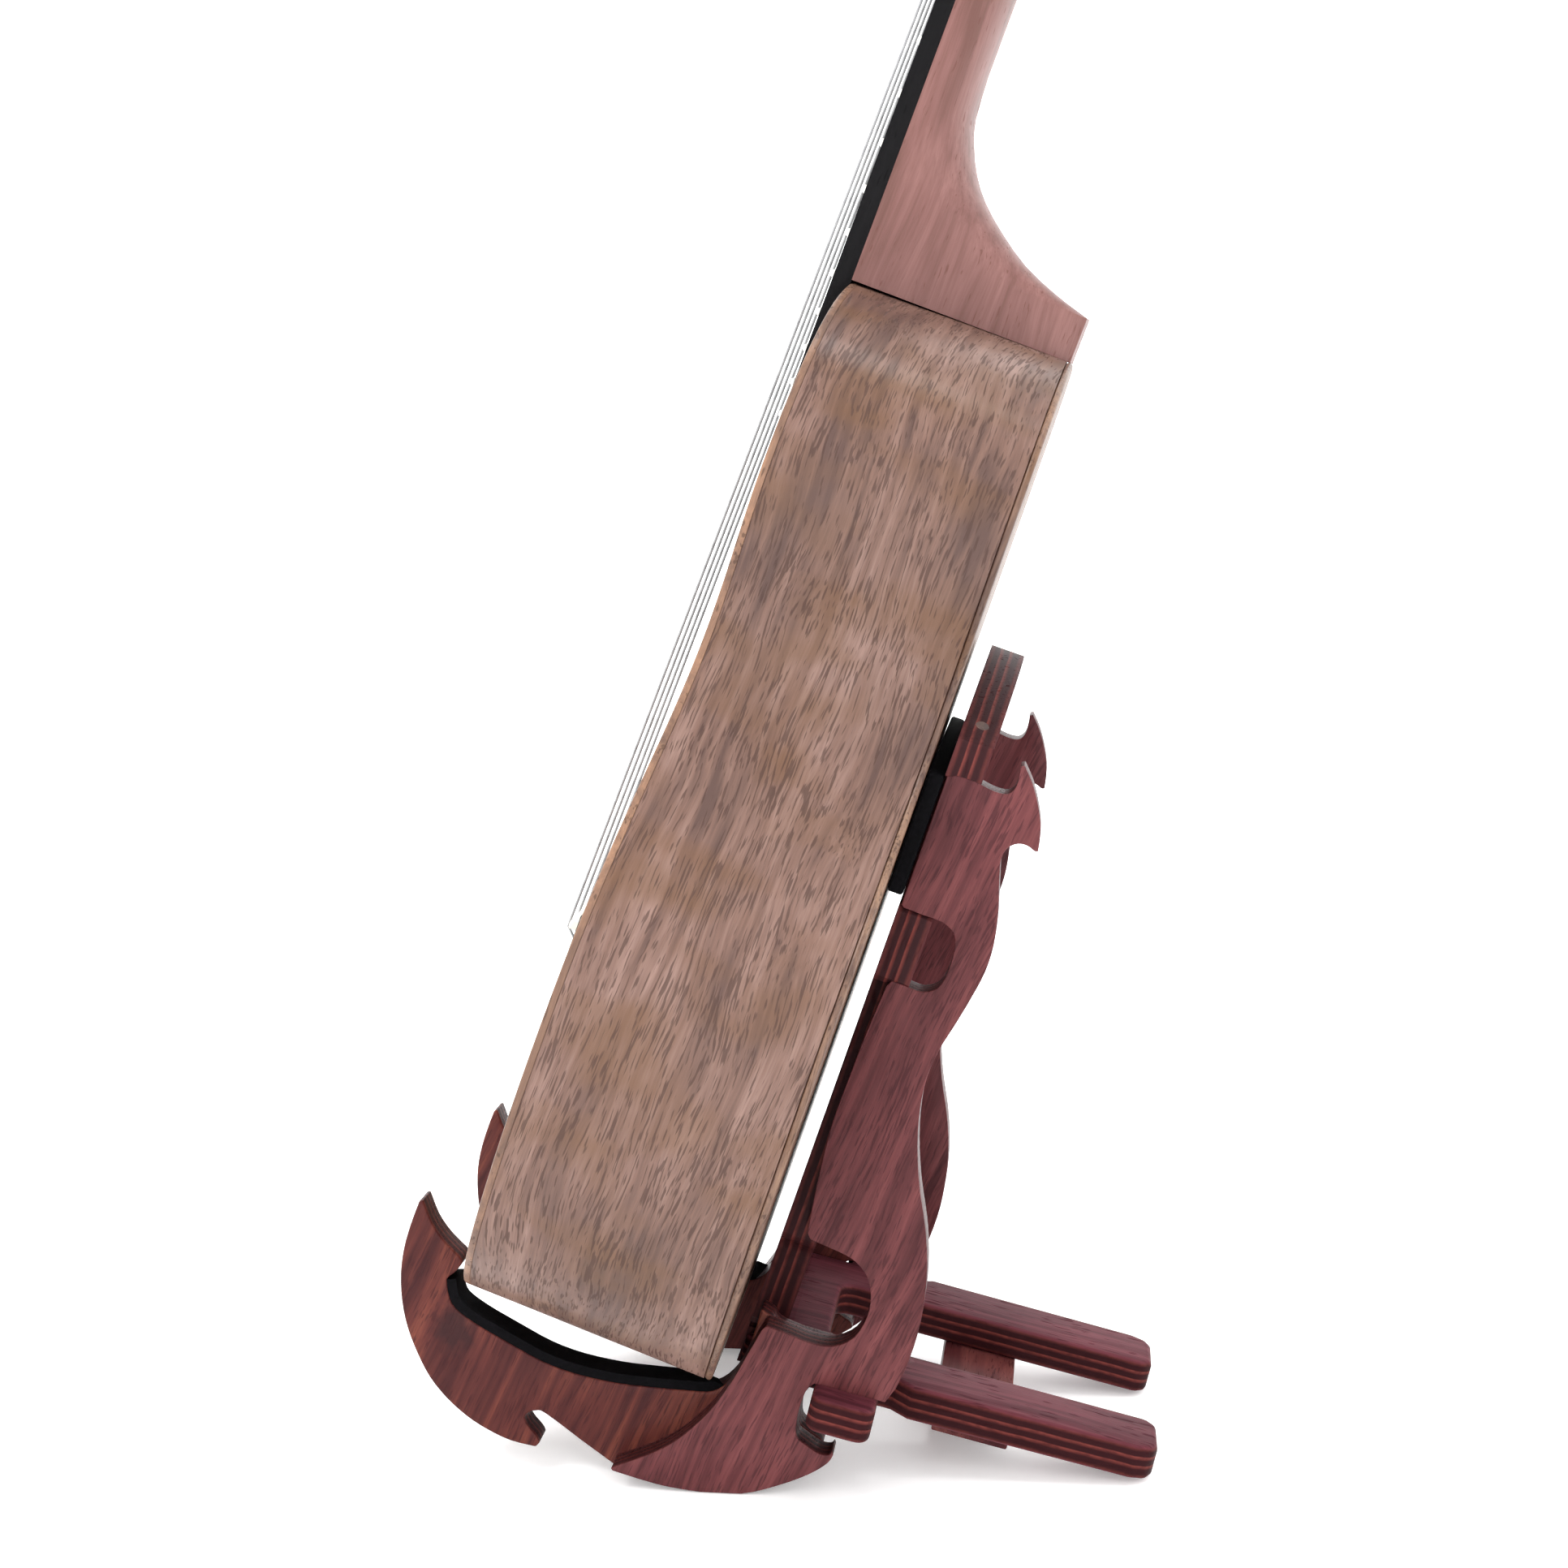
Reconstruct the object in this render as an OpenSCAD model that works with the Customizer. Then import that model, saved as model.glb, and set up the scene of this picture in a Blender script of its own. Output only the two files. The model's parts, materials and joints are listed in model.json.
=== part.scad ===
// Tenor ukulele standing in a knock-down plywood floor stand.
// Millimetres. +Z up, -Y is the soundboard side, +Y the rear, X across.
// Y = 0 is the line where the side panels touch the floor.

/* [Stand] */
// Thickness of every plywood plate
PLY = 9.6; // [8:0.1:12]
// Width over the two side panels
STAND_W = 124; // [110:1:140]
// Slope of the base plate down to the rear, degrees
BASE_TILT = 13.5; // [10:0.5:18]
// How far a base tab stands out of its side panel
TAB_OUT = 10; // [4:1:16]
// Thickness of the foam strips
PAD_T = 4.3; // [3:0.1:6]

/* [Ukulele body] */
// Lean of the soundboard from vertical, degrees
LEAN = 20.5; // [16:0.5:26]
// Height of the neck joint in the sound box frame
BODY_L = 308; // [295:1:320]
// Depth of the sound box at the tail
DEPTH_TAIL = 71.5; // [65:0.5:76]
// Depth of the sound box at the neck
DEPTH_NECK = 63; // [58:0.5:70]
// Thickness of the soundboard and back
PLATE_T = 2; // [1.6:0.1:3]
// Thickness of the bent sides
RIB_T = 1.8; // [1.4:0.1:2.4]
// Radius of the soundhole
HOLE_R = 27; // [24:0.5:32]

/* [Neck] */
// Length of open string, nut to saddle
SCALE = 430; // [425:1:440]
// Fret at the body joint
JOINT_FRET = 14; // [12:1:14]
// Width of the nut
NUT_W = 36; // [34:0.5:40]
// Width of the fingerboard at the body joint
JOINT_W = 46; // [42:0.5:50]
// Thickness of the fingerboard
BOARD_T = 5; // [4:0.1:6]
// Backward angle of the headstock, degrees
HEAD_TILT = 12; // [8:0.5:16]

/* [Hidden] */

$fn = 48;
TINY = 0.02;
GAP = 0.1;          // slip gap between stand plates
MID_Y = 48.9;       // middle of the whole object along Y, where the frame's origin lies
OUT = STAND_W / 2;  // outer face of a side panel
ARM_OUT = OUT - PLY - GAP;      // outer face of a cradle arm
ARM_IN = ARM_OUT - PLY;         // inner face of a cradle arm
LEG_OUT = ARM_IN - GAP;         // outer edge of the base legs
TAPER = atan((DEPTH_TAIL - DEPTH_NECK) / BODY_L);
TAIL_Y = -77.3;     // foot of the sound box frame
TAIL_Z = 34.9;
BASE_Z = 37.9;      // height of the base plate's top plane over Y = 0
JOINT_S = SCALE * (1 - pow(2, -JOINT_FRET / 12));
NUT_Z = BODY_L + JOINT_S;
SADDLE_Z = NUT_Z - SCALE;
BOARD_END = 256;
HOLE_Z = BOARD_END - HOLE_R - 7;
HEAD_Z = NUT_Z + 4.5;
STR_NUT_Y = -7.0;
STR_SAD_Y = -11.9;
STR_R = 0.4;

// ---- curves -------------------------------------------------------------
function cr(a, b, c, d, t) =
  0.5 * ((2 * b) + (c - a) * t + (2 * a - 5 * b + 4 * c - d) * t * t
  + (3 * b - a - 3 * c + d) * t * t * t);
// closed smooth curve through the points
function loop(p, n) = let (m = len(p))
  [for (i = [0:m - 1]) for (k = [0:n - 1])
    cr(p[(i + m - 1) % m], p[i], p[(i + 1) % m], p[(i + 2) % m], k / n)];
// open smooth curve through the points, both ends kept
function path(p, n) = let (m = len(p))
  concat([for (i = [0:m - 2]) for (k = [0:n - 1])
    cr(p[max(i - 1, 0)], p[i], p[i + 1], p[min(i + 2, m - 1)], k / n)], [p[m - 1]]);
// points of an anticlockwise outline moved inwards by d
function inset(p, d) = let (m = len(p))
  [for (i = [0:m - 1]) let (t = p[(i + 1) % m] - p[(i + m - 1) % m], l = norm(t))
    p[i] + d * [-t[1], t[0]] / l];
function arc(c, r, a0, a1, n) =
  [for (i = [0:n]) let (a = a0 + (a1 - a0) * i / n) c + r * [cos(a), sin(a)]];

// ---- frames -------------------------------------------------------------
// Y in the outlines and placements counts from where the side panels touch the floor
// sound box frame: z up the neck, y from the soundboard to the back
module uke() translate([0, TAIL_Y - MID_Y, TAIL_Z]) rotate([-LEAN, 0, 0]) children();
// plane of the back: y = 0 on the back, z up
module on_back() translate([0, DEPTH_TAIL, 0]) rotate([TAPER, 0, 0]) children();
// headstock frame: z up the headstock, y = 0 on its front wood face
module head() translate([0, 0, HEAD_Z]) rotate([-HEAD_TILT, 0, 0]) children();
// base plate frame: y down the slope, z = 0 on the top face
module base() translate([0, -MID_Y, BASE_Z]) rotate([-BASE_TILT, 0, 0]) children();
// plate with its outline in Y and Z, from x0 to x1
module plate_x(x0, x1) translate([x0, -MID_Y, 0]) rotate([90, 0, 90])
  linear_extrude(x1 - x0) children();
// plate with its outline in X and Z, from y0 to y1
module plate_y(y0, y1) translate([0, y1, 0]) rotate([90, 0, 0])
  linear_extrude(y1 - y0) children();
module rod(a, b, r) let (d = b - a, l = norm(d))
  translate(a) rotate([0, acos(d[2] / l), atan2(d[1], d[0])]) cylinder(r = r, h = l);
module both() { children(); mirror([1, 0, 0]) children(); }

// ---- stand --------------------------------------------------------------
function slope(y) = BASE_Z - tan(BASE_TILT) * y;
// side panel outline in Y and Z, clockwise from the upper front corner
PANEL = concat(
  [[59, 196]], path([[61.5, 196.2], [66, 194.8], [71, 192.3], [74.5, 191.6], [76.5, 193.2],
    [77.4, 196], [77.8, 198.8]], 3),
  path([[78.8, 199], [80.8, 194.5], [82.2, 189.5], [83, 184.5], [83, 180.5], [82.5, 176.8]], 3),
  path([[81.6, 176.8], [79.8, 178.2], [77.3, 178.7], [74.6, 177.5], [73, 174.5],
    [72.6, 168], [72.4, 160], [71.4, 152], [69.3, 145], [65.8, 138], [61.5, 130.5],
    [57.3, 123.5], [54.4, 116.5], [52.6, 108], [52, 98], [52.6, 87], [54.2, 76],
    [54.8, 66], [54.2, 56.5], [52.4, 46.5], [49.5, 37.5], [46.6, 31.2]], 3),
  [[43.8, slope(43.8)], [42.6, slope(42.6)], [27, slope(27)]],
  path([[24.8, slope(24.8) - 0.2], [22.6, 29.5], [21, 25], [20, 20], [20.2, 16.6],
    [22.5, 14.6], [26, 12.3], [28.6, 11.9], [29.6, 12.9]], 3),
  path([[30, 12], [28.6, 9.8], [25, 7.2], [20, 4.7], [14, 2.4], [9, 0.8]], 3),
  [[5, 0], [-6, 0]],
  path([[-9, 0.3], [-16, 1.3], [-23, 3], [-30, 5]], 3),
  path([[-30.4, 5.7], [-25, 7.9], [-19.5, 10.2], [-15, 12.6], [-10.8, 15.6], [-6.4, 19.6],
    [-1.8, 24.8], [3, 32], [7, 39.4], [10.8, 46.2]], 3),
  path([[12, 47.2], [18, 45.1], [24, 42.9], [30, 42.3], [35.5, 45], [39, 51], [39.9, 57],
    [38.6, 62.4], [34.6, 66.8], [28, 69.8], [23.8, 71.6]], 3),
  path([[23, 73.4], [24.2, 80], [26.2, 90], [29.4, 103], [33.8, 115.5], [38.8, 129],
    [43.6, 140.6]], 3),
  path([[45, 142], [49, 140.5], [53, 139.2], [57, 140.4], [59.6, 144.8], [61.2, 150.4],
    [61, 154.8], [58, 157.8], [53, 159.6], [48, 161.4]], 3),
  [[47.4, 162.4]]);

// points of the sound box frame, y and z, placed in Y and Z
function seat(p) = [TAIL_Y + p[0] * cos(LEAN) + p[1] * sin(LEAN),
  TAIL_Z - p[0] * sin(LEAN) + p[1] * cos(LEAN)];
// points of an open line moved to its left by d
function shift(p, d) = let (m = len(p))
  [for (i = [0:m - 1]) let (t = p[min(i + 1, m - 1)] - p[max(i - 1, 0)])
    p[i] + d * [-t[1], t[0]] / norm(t)];
// hollow seat of the cradle: it meets the sound box only near its two lower corners
SEAT = path([[-6.4, 17.6], [-4.6, 14], [-1.6, 11], [5, 9], [15, 7.4], [26, 6], [36, 6.3],
  [47, 8.2], [57, 11], [67, 14.2], [72.4, 16.4], [75.6, 21], [77, 27], [77.2, 34], [76.6, 43]], 3);
PAD_DEEP = 2.7;     // foam strip on the seat
// cradle arm outline in Y and Z, clockwise from its front horn
ARM = concat(
  path([[-83.4, 76], [-81, 69.6], [-78, 65], [-75, 61.8], [-73.2, 60], [-72.8, 58.4],
    [-74.4, 56.2], [-76.8, 54.2]], 3),
  [for (p = SEAT) seat(p)],
  path([[12.6, 46.4], [14, 44], [20, 41.4], [30, 38.6], [38, 35.4], [42, 31.5],
    [43.2, slope(43.2)]], 3),
  [[27, slope(27)]],
  path([[24.8, slope(24.8) - 0.2], [22.6, 29.5], [21, 25], [20, 20], [20.2, 16.6],
    [22.5, 14.6], [26, 12.3]], 3),
  path([[26.4, 10.6], [20, 7], [12, 4.2], [0, 2.6], [-14, 2.4], [-26, 2.4], [-31.6, 3]], 3),
  path([[-40, 9], [-50, 16.4], [-52.8, 17.2], [-55.2, 16.4], [-56, 14.8], [-55, 12.6],
    [-52.8, 10], [-51.8, 8.2]], 3),
  path([[-53, 6.8], [-60, 8.3], [-66.5, 11.2], [-72.2, 14.8], [-77.8, 19.8], [-82.4, 25.6],
    [-85.8, 32.4], [-88.4, 39.6], [-89.8, 47], [-90, 55], [-89, 62], [-87, 68.8],
    [-84.4, 75.6]], 3));

module side_panel() plate_x(OUT - PLY, OUT) polygon(PANEL);
module cradle_arm() plate_x(ARM_IN, ARM_OUT) polygon(ARM);
module side_panel_right() color([0.48, 0.29, 0.27]) side_panel();
module side_panel_left() color([0.48, 0.29, 0.27]) mirror([1, 0, 0]) side_panel();
module cradle_arm_right() color([0.52, 0.31, 0.29]) cradle_arm();
module cradle_arm_left() color([0.52, 0.31, 0.29]) mirror([1, 0, 0]) cradle_arm();

// foam strip on the seat, cut 0.3 clear of the sound box
module cradle_pad() difference() {
  plate_x(ARM_IN, ARM_OUT - 0.2) polygon([for (p = concat(SEAT,
    let (top = shift(SEAT, PAD_DEEP)) [for (i = [len(top) - 1:-1:0]) top[i]])) seat(p)]);
  uke() pad_clear();
}
module pad_clear() {
  plate_y(-0.3, DEPTH_TAIL + 8) polygon(inset(BODY, -0.3));
}
module cradle_pad_right() color([0.06, 0.06, 0.07]) cradle_pad();
module cradle_pad_left() color([0.06, 0.06, 0.07]) mirror([1, 0, 0]) cradle_pad();

// the leaning plate, drawn in the plane of the back
PLATE_Y = 0.3 + PAD_T;
SHOULDER = 198.6;
EAR = 209;
CROWN = 228;
CROWN_R = (OUT * OUT + pow(CROWN - EAR, 2)) / (2 * (CROWN - EAR));
module back_outline() {
  half = concat([[0, 34], [LEG_OUT - 3, 34], [LEG_OUT - 0.4, 36.6], [LEG_OUT - 0.4, 58]],
    path([[LEG_OUT + 0.4, 60], [LEG_OUT + 2.6, 62], [ARM_OUT - 2, 63.4], [ARM_OUT, 66]], 3),
    [[ARM_OUT, 141.6], [OUT - 1.6, 141.6], [OUT, 143.2], [OUT, 161.2], [OUT - 1.6, 162.8],
    [ARM_OUT, 162.8], [ARM_OUT, SHOULDER], [OUT, SHOULDER]],
    arc([0, CROWN - CROWN_R], CROWN_R, acos(OUT / CROWN_R), 90, 10));
  polygon(concat(half, [for (i = [len(half) - 2:-1:1]) [-half[i][0], half[i][1]]]));
}
module plate_bottom() base() translate([-80, -40, -60]) cube([160, 160, 60]);
module back_panel() color([0.42, 0.24, 0.24]) difference() {
  union() {
    difference() {
      uke() on_back() plate_y(PLATE_Y, PLATE_Y + PLY) back_outline();
      plate_bottom();
    }
    // tenons into the base plate
    intersection() {
      uke() on_back() plate_y(PLATE_Y, PLATE_Y + PLY)
        for (x = [-28, 28]) translate([x - 8, 15]) square([16, 40]);
      base() translate([-80, -40, -PLY]) cube([160, 160, PLY + 1]);
    }
  }
  plug_at(PLUG_R + TINY, 14);
  both() side_panel();
}
// small round plug that closes a hole in the crown's edge
PLUG_A = 30;
PLUG_R = 1.75;
module plug_at(r, top) uke() on_back() translate([0, PLATE_Y + PLY / 2, CROWN - CROWN_R])
  rotate([0, PLUG_A, 0]) translate([0, 0, CROWN_R - 12]) cylinder(r = r, h = top, $fn = 24);
module edge_plug() color([0.36, 0.2, 0.19]) plug_at(PLUG_R, 11.9);
module back_pad() color([0.06, 0.06, 0.07]) uke() on_back()
  plate_y(0.3, PLATE_Y) translate([-OUT, 165]) square([STAND_W, 33.4]);

// sloping base plate: a front rail with two side tabs and two legs that run to the rear
SLOT = 22;          // half the gap between the legs
LEG_END = 120.4;
module base_outline() difference() {
  union() {
    half = [[LEG_OUT - 3, 4], [LEG_OUT, 7], [LEG_OUT, 47], [LEG_OUT + 3.6, 52],
      [LEG_OUT + 2.4, LEG_END - 6], [LEG_OUT + 0.4, LEG_END - 1.4], [LEG_OUT - 3, LEG_END]];
    polygon(concat(half, [for (i = [len(half) - 1:-1:0]) [-half[i][0], half[i][1]]]));
    for (s = [-1, 1]) polygon([for (p = concat([[LEG_OUT - 2, 25.8]],
      arc([OUT + TAB_OUT - 4, 29.8], 4, -90, 0, 5), arc([OUT + TAB_OUT - 4, 39.2], 4, 0, 90, 5),
      [[LEG_OUT - 2, 43.2]])) [s * p[0], p[1]]]);
  }
  // the open gap between the legs
  polygon(concat(arc([5 - SLOT, 31], 5, 180, 270, 5), arc([SLOT - 5, 31], 5, 270, 360, 5),
    [[SLOT, LEG_END - 3], [SLOT + 3, LEG_END], [SLOT + 3, 130], [-SLOT - 3, 130],
    [-SLOT - 3, LEG_END], [-SLOT, LEG_END - 3]]));
}
// flat bar glued under both legs, its grain across them
CROSS_Y = 59.6;
CROSS_L = 21.4;
CROSS_T = 4;
module crossbar() color([0.45, 0.26, 0.26]) base()
  translate([-SLOT - 16, CROSS_Y, -PLY - CROSS_T]) cube([2 * SLOT + 32, CROSS_L, CROSS_T]);
module base_plate() color([0.54, 0.36, 0.36]) difference() {
  base() translate([0, 0, -PLY]) linear_extrude(PLY) base_outline();
  uke() on_back() plate_y(PLATE_Y - GAP, PLATE_Y + PLY + GAP)
    for (x = [-28, 28]) translate([x - 8 - GAP, 5]) square([16 + 2 * GAP, 50]);
  translate([-80, -120, -20]) cube([160, 260, 20]);
}

// ---- sound box ----------------------------------------------------------
HALF = [[0, 12], [22, 13.3], [44, 17.2], [62, 22.8], [78, 31], [92, 45], [102, 64], [109, 87.5],
  [111.5, 112], [109.5, 135], [101, 155], [87, 173], [73, 190], [65, 207], [66.5, 225],
  [73, 242], [76.5, 258], [74, 275], [65, 290], [48, 301], [24, 307], [0, BODY_L]];
BODY = loop(concat(HALF, [for (i = [len(HALF) - 2:-1:1]) [-HALF[i][0], HALF[i][1]]]), 3);
module box_slab(d, y0, y1) plate_y(y0, y1) polygon(inset(BODY, d));
// everything in front of the back plane moved forward by t
module before_back(t) on_back() translate([-150, -150 - t, -60]) cube([300, 150, 450]);

module soundboard() color([0.72, 0.55, 0.42]) uke() difference() {
  box_slab(0, 0, PLATE_T);
  translate([0, -1, HOLE_Z]) rotate([-90, 0, 0]) cylinder(r = HOLE_R, h = 5, $fn = 96);
  translate([0, -1, HOLE_Z]) rotate([-90, 0, 0]) difference() {
    cylinder(r = HOLE_R + 7 + TINY, h = 1.8, $fn = 96);
    translate([0, 0, -1]) cylinder(r = HOLE_R + 4 - TINY, h = 4, $fn = 96);
  }
}
module rosette() color([0.25, 0.17, 0.12]) uke()
  translate([0, 0, HOLE_Z]) rotate([-90, 0, 0]) difference() {
    cylinder(r = HOLE_R + 7, h = 0.78, $fn = 96);
    translate([0, 0, -1]) cylinder(r = HOLE_R + 4, h = 4, $fn = 96);
  }
module back_plate() color([0.5, 0.36, 0.28]) uke() intersection() {
  box_slab(0, 20, DEPTH_TAIL + 6);
  on_back() translate([-150, -PLATE_T, -60]) cube([300, PLATE_T, 450]);
}
module side_ribs() color([0.58, 0.44, 0.37]) uke() intersection() {
  difference() {
    box_slab(0, PLATE_T, DEPTH_TAIL + 5);
    box_slab(RIB_T, PLATE_T - 1, DEPTH_TAIL + 6);
  }
  before_back(PLATE_T);
}
module inner(d, t) intersection() {
  box_slab(d, PLATE_T, DEPTH_TAIL + 5);
  before_back(PLATE_T + t);
}
module neck_zone() translate([-24, 0, BODY_L - 24]) cube([48, 90, 30]);
module tail_zone() translate([-26, 0, -4]) cube([52, 90, 28]);
module neck_block() color([0.66, 0.5, 0.38]) uke()
  intersection() { inner(RIB_T, 0); neck_zone(); }
module tail_block() color([0.66, 0.5, 0.38]) uke()
  intersection() { inner(RIB_T, 0); tail_zone(); }
module ring(d0, d1) difference() {
  inner(d0, 0);
  translate([0, -1, 0]) box_slab(d1, 0, DEPTH_TAIL + 8);
  neck_zone();
  tail_zone();
}
module front_lining() color([0.7, 0.56, 0.42]) uke() intersection() {
  ring(RIB_T, 6.5);
  translate([-150, 0, -50]) cube([300, PLATE_T + 9, 450]);
}
module back_lining() color([0.7, 0.56, 0.42]) uke() difference() {
  ring(RIB_T, 6.5);
  before_back(PLATE_T + 9);
}
module front_braces() color([0.78, 0.66, 0.48]) uke() intersection() {
  box_slab(6.8, PLATE_T, 30);
  union() {
    for (z = [174, 262]) translate([-120, PLATE_T, z - 3]) cube([240, 9, 6]);
    for (a = [-14, 0, 14]) translate([0, PLATE_T, 171]) rotate([0, a, 0])
      translate([-2.5, 0, -40]) cube([5, 6, 38]);
    for (a = [-14, 0, 14]) translate([0, PLATE_T, 171]) rotate([0, a, 0])
      translate([-2.5, 0, -142]) cube([5, 6, 62]);
  }
}
module back_braces() color([0.78, 0.66, 0.48]) uke() intersection() {
  inner(6.8, 0);
  on_back() for (z = [70, 150, 236]) translate([-120, -PLATE_T - 9, z - 3]) cube([240, 9, 6]);
}
module bridge_patch() color([0.7, 0.52, 0.38]) uke() translate([-38, PLATE_T, 97]) cube([76, 2, 30]);

// ---- bridge, saddle ------------------------------------------------------
module bridge() color([0.1, 0.08, 0.08]) uke() difference() {
  union() {
    plate_y(-5, 0) polygon(concat(arc([-42, 112], 8, 90, 270, 10), arc([42, 112], 8, -90, 90, 10)));
    plate_y(-8.6, -4.9) translate([-30, 104]) square([60, 17]);
  }
  translate([-25 - TINY, -12, SADDLE_Z - 1.3 - TINY]) cube([50 + 2 * TINY, 8, 2.6 + 2 * TINY]);
  translate([-26, -12, SADDLE_Z - 3]) cube([52, 4.4, 3]);
  translate([-26, -12, 109]) cube([52, 6, 4.4]);
  for (x = [-21, -7, 7, 21]) translate([x, -6.6, 100]) cylinder(r = 0.6, h = 14, $fn = 16);
}
module saddle() color([0.92, 0.9, 0.84]) uke()
  translate([-25, STR_SAD_Y + STR_R + 0.1, SADDLE_Z - 1.3]) cube([50, -STR_SAD_Y - STR_R - 0.1 - 4, 2.6]);

// ---- neck ----------------------------------------------------------------
// height above the body joint, depth of the rounded back and set-back of the flat front
HEEL = concat([[0, DEPTH_NECK - 0.4]],
  path([[12.6, DEPTH_NECK - 0.4], [14, 57.6], [16, 51.2], [20, 41.4], [26, 32.2], [32, 25],
    [38, 20.2], [45, 16.6], [52, 14.4], [64, 13.5]], 2));
NECK_ROWS = concat([for (h = HEEL) [h[0], h[1], 0]], [[JOINT_S - 14, 12.8, 0],
  [JOINT_S - 6, 13, 0], [JOINT_S + 4.4, 13.6, 0], [JOINT_S + 12, 13.8, 3]]);
// shaft and heel: a half-round section that deepens into a narrow tongue at the body
module shaft() {
  n = 18;
  m = len(NECK_ROWS);
  rings = [for (h = NECK_ROWS) let (z = BODY_L + 0.05 + h[0], deep = max(0, (h[1] - 13.5) / 47),
      w = max(board_w(z), NUT_W) / 2) for (i = [0:n])
    let (c = cos(180 * i / n), t = pow(sin(180 * i / n), 0.75))
    [w * (1 - 0.56 * deep * t) * sign(c) * pow(abs(c), 1 - 0.6 * deep),
      h[2] + (h[1] - h[2]) * t, z]];
  polyhedron(rings, concat([[for (i = [0:n]) i]],
    [for (j = [0:m - 2]) for (i = [0:n]) let (a = j * (n + 1) + i,
      b = j * (n + 1) + (i + 1) % (n + 1)) each [[a, a + n + 1, b], [b, a + n + 1, b + n + 1]]],
    [[for (i = [n:-1:0]) (m - 1) * (n + 1) + i]]));
}
module head_outline(z0) {
  right = concat([[0, z0], [19.5, z0]], path([[22, 4], [30, 14], [32, 30], [30.5, 52],
    [30.5, 74], [32, 94], [27, 108], [12, 113], [0, 114]], 3));
  polygon(concat(right, [for (i = [len(right) - 2:-1:1]) [-right[i][0], right[i][1]]]));
}
function tun_x(i) = (i < 2 ? 1 : -1) * (i % 2 == 0 ? 18.5 : 17.5);
function tun_z(i) = i % 2 == 0 ? 30 : 72;
module neck() color([0.65, 0.46, 0.42]) uke() difference() {
  union() {
    shaft();
    head() plate_y(0, 13) head_outline(0);
  }
  for (i = [0:3]) head() translate([tun_x(i), -5, tun_z(i)]) rotate([-90, 0, 0])
    cylinder(r = 3.12, h = 30);
}
module board_outline() {
  k = (JOINT_W - NUT_W) / JOINT_S;
  w = JOINT_W + k * (BODY_L - BOARD_END);
  polygon([[-w / 2, BOARD_END], [w / 2, BOARD_END], [NUT_W / 2, NUT_Z], [-NUT_W / 2, NUT_Z]]);
}
function fret_z(n) = NUT_Z - SCALE * (1 - pow(2, -n / 12));
function board_w(z) = NUT_W + (JOINT_W - NUT_W) * (NUT_Z - z) / JOINT_S;
DOTS = [[0, 5], [0, 7], [0, 10], [-7, 12], [7, 12], [0, 15]];
module dot_at(d, r, y0, h) translate([d[0], y0, (fret_z(d[1]) + fret_z(d[1] - 1)) / 2])
  rotate([-90, 0, 0]) cylinder(r = r, h = h, $fn = 32);
module edge_at(n, r, x0, h) let (z = (fret_z(n) + fret_z(n - 1)) / 2)
  translate([-board_w(z) / 2 + x0, -BOARD_T / 2, z]) rotate([0, 90, 0])
  cylinder(r = r, h = h, $fn = 20);
module fingerboard() color([0.07, 0.07, 0.08]) uke() difference() {
  plate_y(-BOARD_T, 0) board_outline();
  for (d = DOTS) dot_at(d, 2.5 + TINY, -BOARD_T - 1, 2.5);
  for (n = [5, 7, 10, 12]) edge_at(n, 1 + TINY, 0, 1.6);
}
module frets() color([0.75, 0.75, 0.77]) uke() for (n = [1:18]) let (z = fret_z(n), w = board_w(z))
  translate([0, -BOARD_T, z]) rotate([0, 90, 0]) intersection() {
    cylinder(r = 1.1, h = w - 0.6, center = true, $fn = 24);
    translate([-2, -0.9, -w]) cube([4, 0.9, 2 * w]);
  }
module face_dots() color([0.9, 0.89, 0.85]) uke() for (d = DOTS) dot_at(d, 2.5, -BOARD_T, 1.5);
module edge_dots() color([0.9, 0.89, 0.85]) uke() for (n = [5, 7, 10, 12]) edge_at(n, 1, 0.15, 1.3);
module nut() color([0.92, 0.9, 0.84]) uke()
  translate([-NUT_W / 2, STR_NUT_Y + STR_R + 0.1, NUT_Z]) cube([NUT_W, -STR_NUT_Y - STR_R - 0.1, 4.4]);
module head_veneer() color([0.24, 0.15, 0.12]) uke() difference() {
  head() plate_y(-1.8, 0) head_outline(1.4);
  for (i = [0:3]) head() translate([tun_x(i), -5, tun_z(i)]) rotate([-90, 0, 0])
    cylinder(r = 3.12, h = 30);
}

// ---- tuners: a post, a worm shaft with its button, one closed housing each ----
WORM_Z = 7.4;   // worm shaft beside the post axis
module at_tuner(i) uke() head() translate([tun_x(i), 0, tun_z(i)])
  mirror([i < 2 ? 0 : 1, 0, 0]) children();
module housing() difference() {
  translate([-7, 13, -7]) cube([14, 11, 20]);
  rotate([-90, 0, 0]) cylinder(r = 3.06, h = 16);
  translate([0, 15.5, 0]) rotate([-90, 0, 0]) cylinder(r = 5.5, h = 6.5);
  translate([-5, 15.5, 3]) cube([10, 6.5, WORM_Z]);
  translate([0, 18.75, WORM_Z]) rotate([0, 90, 0]) cylinder(r = 1.66, h = 20);
  translate([0, 22.5, 10.4]) rotate([-90, 0, 0]) cylinder(r = 1.0 + TINY, h = 5, $fn = 20);
}
module tuner_housings() color([0.8, 0.8, 0.82]) for (i = [0:3]) at_tuner(i) housing();
module tuner_bushings() color([0.8, 0.8, 0.82]) for (i = [0:3]) at_tuner(i)
  translate([0, -3.2, 0]) rotate([-90, 0, 0]) difference() {
    cylinder(r = 5, h = 1.4);
    translate([0, 0, -1]) cylinder(r = 3.06, h = 4);
  }
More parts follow.
